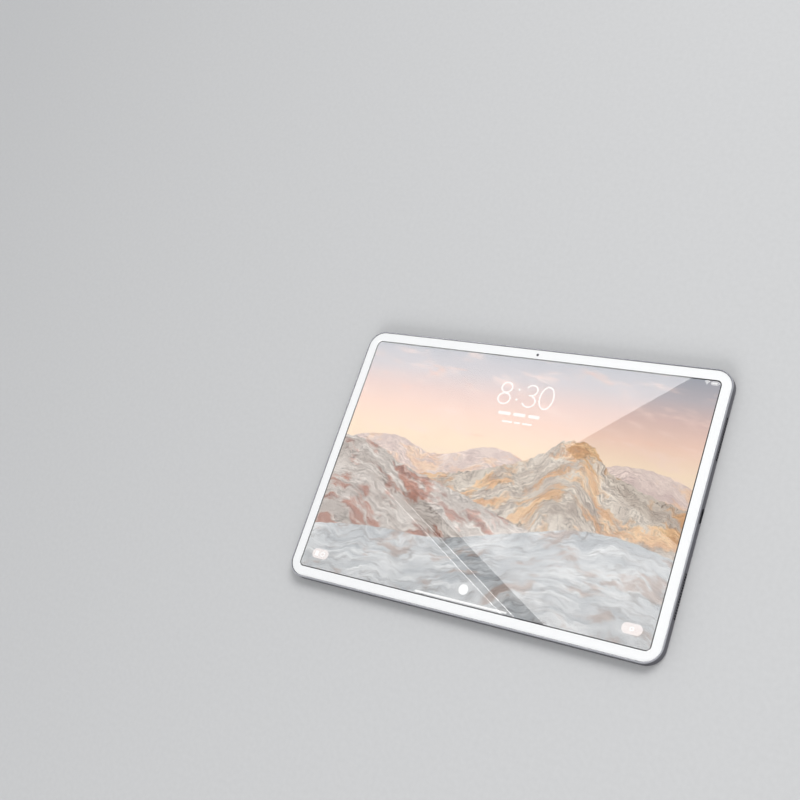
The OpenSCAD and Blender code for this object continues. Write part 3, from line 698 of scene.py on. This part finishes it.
def board(name):
    """Green solder mask with copper tracks under it."""
    s = Shade(name)
    x, y = s.split(s.place())[:2]
    squares = {"distance": "MANHATTAN", "feature": "DISTANCE_TO_EDGE"}
    cells = s.add("TexVoronoi", {"Vector": s.join(x, y), "Scale": 0.45}, **squares)
    track = s.step(cells.outputs["Distance"], 0.06, 0.1)
    colour = s.mix(track, (0.09, 0.22, 0.12), (0.02, 0.11, 0.06))
    return s.finish(s.principled(Base_Color=colour, Roughness=0.35, Normal=s.bump(track, 0.02)))


def lens(name):
    """Dark coated lens, whose colour shifts with the angle of view as a painted sheen of the coating's
    coloured reflection.
    """
    s = Shade(name)
    facing = s.add("LayerWeight", {"Blend": 0.35}).outputs["Facing"]
    # painted reflection: the tint follows the facing angle, purple and green like a coated lens's
    # reflection
    sheen = s.plus(facing, s.times(s.noise(s.place(), 1, 2), 0.1))
    stops = [(0.0, (0.003, 0.004, 0.009)), (0.6, (0.012, 0.008, 0.035)), (1.0, (0.005, 0.02, 0.016))]
    return s.finish(s.principled(Base_Color=s.ramp(sheen, stops), Roughness=0.05, IOR=1.25))


def ribbed_lens(name, tone, node):
    """Clear moulding with fine round ribs about the middle of a node, painted darker in the grooves
    between them as shade.
    """
    s = Shade(name)
    low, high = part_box(node)
    middle_x, middle_y = ((low[i] + high[i]) / 2 / MM for i in (0, 1))
    x, y = s.split(s.place())[:2]
    radius = s.length(s.join(s.minus(x, middle_x), s.minus(y, middle_y)))
    rib = s.math("SINE", s.times(radius, 2 * math.pi / RIB_PITCH))
    # painted shade: the colour is darker in the troughs of the ribs
    colour = s.mix(s.step(rib, -1, 1), tinted(tone, 0.72), tone)
    return s.finish(s.principled(Base_Color=colour, Roughness=0.12, Normal=s.bump(rib, 0.06)))


def make_materials():
    """One material for each slot of the record."""
    made = {
        "anodised_body": metal("anodised_body", SLATE, rim_and_highlight_tone=linear(216, 216, 221)),
        "anodised_key": metal("anodised_key", tinted(SLATE, 0.92)),
        "tray_metal": metal("tray_metal", SLATE),
        "camera_ring": metal("camera_ring", linear(150, 150, 158), rough=0.16),
        "cover_glass": clear_sheet("cover_glass"),
        "touch_film": clear_film("touch_film"),
        "clear_adhesive": clear_film("clear_adhesive"),
        "white_ink": plain("white_ink", (0.84, 0.84, 0.835), rough=0.6, depth=0.001, spread=0.01),
        "display_picture": picture(),
        "speaker_mesh": weave("speaker_mesh", (0.05, 0.05, 0.055)),
        "circuit_board": board("circuit_board"),
        "lens_glass": lens("lens_glass"),
        "flash_plastic": ribbed_lens("flash_plastic", (0.86, 0.83, 0.7), "flash_lens"),
        "dark_window": clear_sheet("dark_window", tint=(0.5, 0.52, 0.56)),
        "port_steel": metal("port_steel", (0.55, 0.55, 0.56), rough=0.25, grain=0.2),
        "sheet_steel": metal("sheet_steel", (0.6, 0.61, 0.63), rough=0.3, stretch=(0.05, 1, 1)),
        "shield_steel": metal("shield_steel", (0.66, 0.67, 0.69), rough=0.28, stretch=(1, 0.08, 1)),
        "cast_frame": metal("cast_frame", (0.5, 0.51, 0.53), rough=0.42, grain=0.6),
        "black_steel": metal("black_steel", (0.1, 0.1, 0.11), rough=0.3, grain=0.2),
        "steel_screw": metal("steel_screw", (0.6, 0.6, 0.61), rough=0.25, grain=0.2),
        "switch_metal": metal("switch_metal", (0.7, 0.7, 0.71), rough=0.25, grain=0.2),
        "gold_contact": metal("gold_contact", (0.85, 0.62, 0.25), rough=0.22, grain=0.15),
    }
    plastics = {
        "diffuser_film": ((0.86, 0.86, 0.85), 0.6),
        "clear_acrylic": ((0.75, 0.82, 0.86), 0.12),
        "white_film": ((0.92, 0.92, 0.91), 0.15),
        "led_strip": ((0.8, 0.72, 0.42), 0.4),
        "black_foam": ((0.02, 0.02, 0.02), 0.9),
        "battery_pouch": ((0.03, 0.03, 0.033), 0.42),
        "adhesive_strip": ((0.85, 0.84, 0.8), 0.6),
        "black_cable": ((0.02, 0.02, 0.02), 0.55),
        "chip_package": ((0.03, 0.03, 0.033), 0.5),
        "graphite": ((0.05, 0.05, 0.055), 0.4),
        "connector_plastic": ((0.62, 0.57, 0.4), 0.5),
        "flex_film": ((0.42, 0.17, 0.03), 0.3),
        "port_plastic": ((0.012, 0.012, 0.013), 0.45),
        "speaker_plastic": ((0.03, 0.03, 0.032), 0.55),
        "camera_black": ((0.015, 0.015, 0.017), 0.5),
        "led_phosphor": ((0.85, 0.62, 0.12), 0.5),
        "sensor_epoxy": ((0.1, 0.13, 0.06), 0.2),
        "seal_rubber": ((0.02, 0.02, 0.02), 0.7),
        "window_plastic": (tinted(SLATE, 0.62), 0.42),
        "antenna_plastic": ((0.25, 0.16, 0.06), 0.35),
    }
    for slot, (tone, rough) in plastics.items():
        made[slot] = plain(slot, tone, rough)
    return made


def dress():
    """Gives every CAD node the material of its slot."""
    made = make_materials()
    for part in frame["record"]["subparts"]:
        node = NODES[part["node"]]
        node.data.materials.clear()
        node.data.materials.append(made[part["material_slot"]])


make_camera()
make_floor()
make_studio()
make_cards()
make_marks()
dress()
